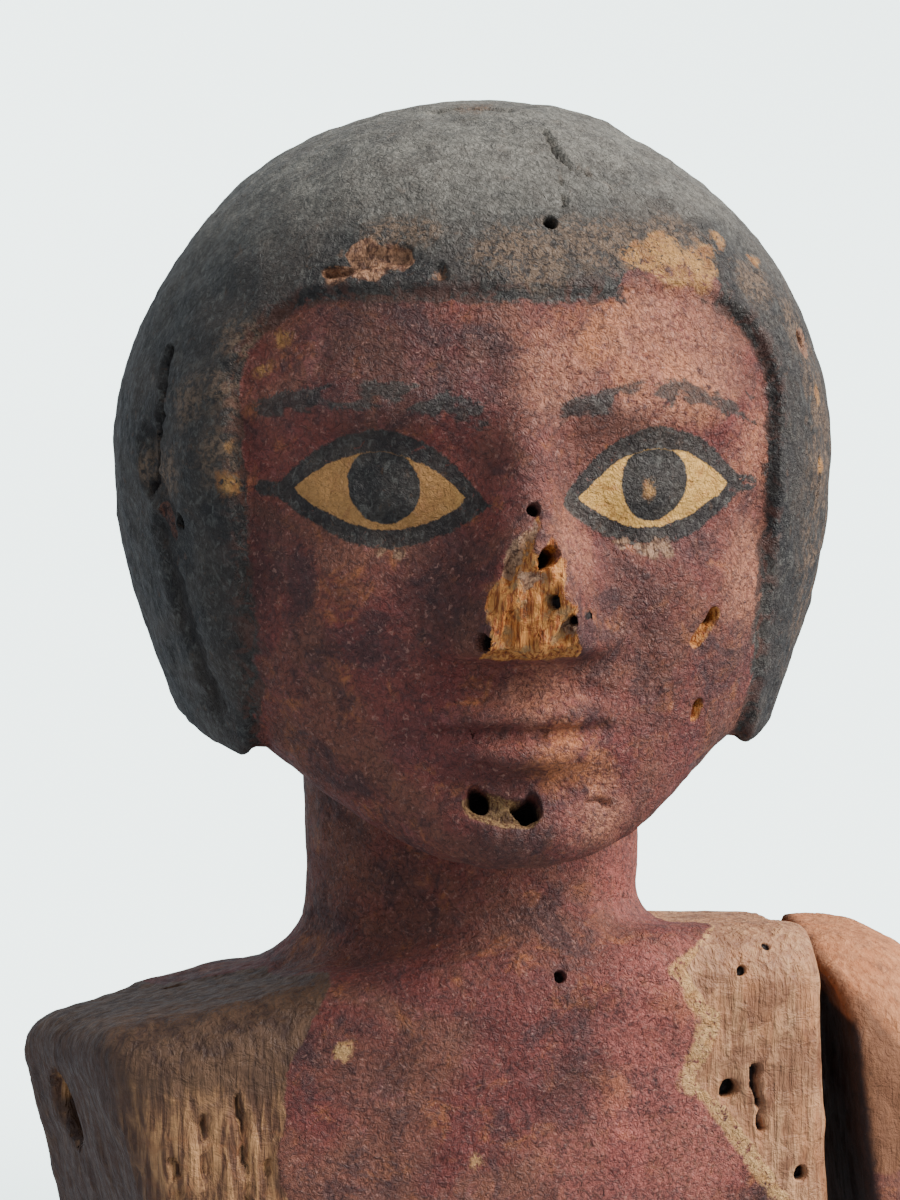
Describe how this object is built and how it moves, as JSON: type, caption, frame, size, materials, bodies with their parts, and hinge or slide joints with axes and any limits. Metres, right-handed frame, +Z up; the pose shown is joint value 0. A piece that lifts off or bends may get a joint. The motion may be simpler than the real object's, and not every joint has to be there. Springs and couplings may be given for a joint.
{
  "type": "wooden rower figurine",
  "caption": "Head and shoulders of a carved, painted wooden rower from a model boat, cut flat across the chest; the left arm is a stump and the right arm is lost.",
  "frame": {"origin": "middle of the flat cut underside, on the figure's midline", "axes": "+Z up through the head, the figure faces -Y, its own left side is +X"},
  "size_m": [0.0607, 0.0451, 0.0733],
  "materials": {
    "painted_wood": "matte worn red-brown paint on wood, black hair and eye lines, chipped to bare wood",
    "bare_wood": "matte bare weathered wood with a trace of red paint"
  },
  "bodies": {
    "root": {"head_and_torso": "painted_wood", "left_arm": "bare_wood"}
  },
  "joints": []
}
